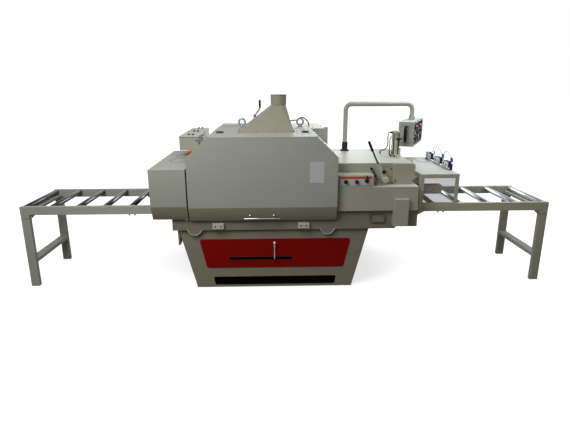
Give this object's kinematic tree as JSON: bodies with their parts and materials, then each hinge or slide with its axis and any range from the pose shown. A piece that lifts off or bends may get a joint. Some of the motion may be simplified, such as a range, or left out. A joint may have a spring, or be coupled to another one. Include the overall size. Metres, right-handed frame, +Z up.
{
  "type": "multi rip saw",
  "caption": "multi-blade rip saw with crawler-chain feed, hinged hood, dust cone, swinging control pendant and roller tables at both ends",
  "frame": {"origin": "middle of the base footprint on the floor, the centre of the four anchor holes", "axes": "+X along the table towards the infeed side, +Y from the operator's side to the back, +Z up"},
  "size_m": [5.019, 1.7215, 1.8],
  "materials": {
    "machine_paint": "satin pebble-grey enamel",
    "red_paint": "satin red enamel",
    "bare_steel": "turned steel",
    "blade_steel": "ground steel",
    "chrome_plate": "bright chrome",
    "casting": "painted casting",
    "chain_iron": "oiled iron",
    "black_rubber": "matte",
    "black_plastic": "moulded",
    "black_steel": "black oxide",
    "red_plastic": "gloss",
    "green_plastic": "gloss",
    "beige_metal": "anodised",
    "clear_pane": "clear",
    "navy_paint": "satin",
    "pale_cable": "sheathed"
  },
  "bodies": {
    "machine": {"base_frame": "machine_paint", "base_panel": "red_paint", "bed": "machine_paint", "cover_plates": "machine_paint", "main_motor": "casting", "drive_belts": "black_rubber", "feed_chain": "chain_iron", "feed_gearmotor": "casting", "arbor_bearings": "casting", "top_housing": "machine_paint", "rear_enclosure": "machine_paint", "dust_cone": "machine_paint", "outfeed_cover": "machine_paint", "console": "machine_paint", "infeed_cover": "machine_paint", "infeed_housing": "machine_paint", "pendant_base": "black_steel", "air_cylinder": "beige_metal", "air_hose": "black_rubber", "infeed_guard": "machine_paint", "guard_window": "clear_pane", "laser_rail": "navy_paint", "laser_cable": "pale_cable", "left_table": "machine_paint", "right_table": "machine_paint", "fasteners": "black_steel"},
    "shift_carriage": {"shift_lever": "chrome_plate"},
    "arbor": {"saw_arbor": "bare_steel", "saw_blades": "blade_steel"},
    "motor_rotor": {"motor_pulley": "bare_steel"},
    "drive_shaft": {"drive_sprockets": "bare_steel"},
    "idler_shaft": {"idler_sprockets": "bare_steel"},
    "infeed_press": {"infeed_press_roller": "bare_steel"},
    "outfeed_press": {"outfeed_press_roller": "bare_steel"},
    "fingers": {"kickback_fingers": "bare_steel"},
    "hood": {"front_hood": "machine_paint", "hood_handle": "chrome_plate"},
    "fence": {"rip_fence": "bare_steel"},
    "crank": {"height_crank": "chrome_plate"},
    "estop": {"estop_button": "red_plastic"},
    "left_knob": {"knob_left": "black_plastic"},
    "right_knob": {"knob_right": "black_plastic"},
    "selector": {"selector_lever": "black_plastic"},
    "feed_arm": {"feed_lever": "chrome_plate"},
    "lock_arm": {"lock_lever": "black_plastic"},
    "swing_arm": {"pendant_arm": "machine_paint"},
    "control_box": {"pendant_box": "machine_paint"},
    "box_estop": {"pendant_estop": "red_plastic"},
    "box_start": {"pendant_start": "green_plastic"},
    "tee": {"t_handle": "black_plastic"},
    "left_roll_1": {"left_roller_1": "bare_steel"},
    "left_roll_2": {"left_roller_2": "bare_steel"},
    "left_roll_3": {"left_roller_3": "bare_steel"},
    "left_roll_4": {"left_roller_4": "bare_steel"},
    "left_roll_5": {"left_roller_5": "bare_steel"},
    "right_roll_1": {"right_roller_1": "bare_steel"},
    "right_roll_2": {"right_roller_2": "bare_steel"},
    "right_roll_3": {"right_roller_3": "bare_steel"},
    "right_roll_4": {"right_roller_4": "bare_steel"},
    "right_roll_5": {"right_roller_5": "bare_steel"}
  },
  "joints": [
    {"name": "shift_slide", "type": "slide", "parent": "machine", "child": "shift_carriage", "axis": [1, 0, 0], "range_m": [-0.4, 0.14]},
    {"name": "arbor_spin", "type": "hinge", "parent": "machine", "child": "arbor", "pos_m": [-0.1, -0.3265, 0.956], "axis": [0, 1, 0], "continuous": true},
    {"name": "motor_spin", "type": "hinge", "parent": "machine", "child": "motor_rotor", "pos_m": [-0.1, 0.33, 0.37], "axis": [0, 1, 0], "continuous": true},
    {"name": "drive_spin", "type": "hinge", "parent": "machine", "child": "drive_shaft", "pos_m": [1.177, -0.3265, 0.71], "axis": [0, 1, 0], "continuous": true},
    {"name": "idler_spin", "type": "hinge", "parent": "machine", "child": "idler_shaft", "pos_m": [-0.813, -0.3265, 0.71], "axis": [0, 1, 0], "continuous": true},
    {"name": "infeed_press_spin", "type": "hinge", "parent": "machine", "child": "infeed_press", "pos_m": [0.33, -0.3265, 0.89], "axis": [0, 1, 0], "continuous": true},
    {"name": "outfeed_press_spin", "type": "hinge", "parent": "machine", "child": "outfeed_press", "pos_m": [-0.53, -0.3265, 0.89], "axis": [0, 1, 0], "continuous": true},
    {"name": "finger_swing", "type": "hinge", "parent": "machine", "child": "fingers", "pos_m": [0.96, -0.3265, 0.975], "axis": [0, 1, 0], "range_deg": [0, 40]},
    {"name": "hood_lift", "type": "hinge", "parent": "machine", "child": "hood", "pos_m": [-0.1, -0.54, 1.4673], "axis": [-1, 0, 0], "range_deg": [0, 80]},
    {"name": "fence_slide", "type": "slide", "parent": "machine", "child": "fence", "axis": [0, 1, 0], "range_m": [-0.3, 0.28]},
    {"name": "crank_spin", "type": "hinge", "parent": "machine", "child": "crank", "pos_m": [-0.19, -0.01, 1.53], "axis": [0, 0, 1], "continuous": true},
    {"name": "estop_press", "type": "slide", "parent": "machine", "child": "estop", "axis": [0, 1, 0], "range_m": [0, 0.006], "stiffness_N_per_m": 800},
    {"name": "left_knob_turn", "type": "hinge", "parent": "machine", "child": "left_knob", "pos_m": [0.652, -0.866, 1.046], "axis": [0, 1, 0], "range_deg": [-135, 135]},
    {"name": "right_knob_turn", "type": "hinge", "parent": "machine", "child": "right_knob", "pos_m": [0.751, -0.866, 1.046], "axis": [0, 1, 0], "range_deg": [-135, 135]},
    {"name": "selector_turn", "type": "hinge", "parent": "machine", "child": "selector", "pos_m": [0.841, -0.866, 1.054], "axis": [0, 1, 0], "range_deg": [-45, 45]},
    {"name": "feed_lever_swing", "type": "hinge", "parent": "machine", "child": "feed_arm", "pos_m": [1.03, -0.775, 1.045], "axis": [0, 1, 0], "range_deg": [-20, 65]},
    {"name": "lock_lever_turn", "type": "hinge", "parent": "machine", "child": "lock_arm", "pos_m": [0.943, -0.736, 1.076], "axis": [0, 1, 0], "range_deg": [-8, 30]},
    {"name": "pendant_swing", "type": "hinge", "parent": "machine", "child": "swing_arm", "pos_m": [0.782, 0.13, 1.24], "axis": [0, 0, 1], "range_deg": [-8, 70]},
    {"name": "pendant_turn", "type": "hinge", "parent": "swing_arm", "child": "control_box", "pos_m": [1.5, 0.13, 1.54], "axis": [0, 0, 1], "range_deg": [-90, 90]},
    {"name": "pendant_estop_press", "type": "slide", "parent": "control_box", "child": "box_estop", "axis": [-0.907, 0.421, 0], "range_m": [0, 0.005], "stiffness_N_per_m": 600},
    {"name": "pendant_start_press", "type": "slide", "parent": "control_box", "child": "box_start", "axis": [-0.907, 0.421, 0], "range_m": [0, 0.005], "stiffness_N_per_m": 500},
    {"name": "tee_turn", "type": "hinge", "parent": "machine", "child": "tee", "pos_m": [1.228, -0.416, 1.3], "axis": [0, 0, 1], "range_deg": [-90, 90]},
    {"name": "left_roll_spin_1", "type": "hinge", "parent": "machine", "child": "left_roll_1", "pos_m": [-2.347, -0.3265, 0.78], "axis": [0, 1, 0], "continuous": true},
    {"name": "left_roll_spin_2", "type": "hinge", "parent": "machine", "child": "left_roll_2", "pos_m": [-2.099, -0.3265, 0.78], "axis": [0, 1, 0], "continuous": true},
    {"name": "left_roll_spin_3", "type": "hinge", "parent": "machine", "child": "left_roll_3", "pos_m": [-1.851, -0.3265, 0.78], "axis": [0, 1, 0], "continuous": true},
    {"name": "left_roll_spin_4", "type": "hinge", "parent": "machine", "child": "left_roll_4", "pos_m": [-1.603, -0.3265, 0.78], "axis": [0, 1, 0], "continuous": true},
    {"name": "left_roll_spin_5", "type": "hinge", "parent": "machine", "child": "left_roll_5", "pos_m": [-1.355, -0.3265, 0.78], "axis": [0, 1, 0], "continuous": true},
    {"name": "right_roll_spin_1", "type": "hinge", "parent": "machine", "child": "right_roll_1", "pos_m": [2.61, -0.3265, 0.78], "axis": [0, 1, 0], "continuous": true},
    {"name": "right_roll_spin_2", "type": "hinge", "parent": "machine", "child": "right_roll_2", "pos_m": [2.34, -0.3265, 0.78], "axis": [0, 1, 0], "continuous": true},
    {"name": "right_roll_spin_3", "type": "hinge", "parent": "machine", "child": "right_roll_3", "pos_m": [2.07, -0.3265, 0.78], "axis": [0, 1, 0], "continuous": true},
    {"name": "right_roll_spin_4", "type": "hinge", "parent": "machine", "child": "right_roll_4", "pos_m": [1.8, -0.3265, 0.78], "axis": [0, 1, 0], "continuous": true},
    {"name": "right_roll_spin_5", "type": "hinge", "parent": "machine", "child": "right_roll_5", "pos_m": [1.53, -0.3265, 0.78], "axis": [0, 1, 0], "continuous": true}
  ],
  "couplings": [
    {"joint": "motor_spin", "follows": "arbor_spin", "ratio": 0.72727},
    {"joint": "idler_spin", "follows": "drive_spin", "ratio": 1}
  ]
}
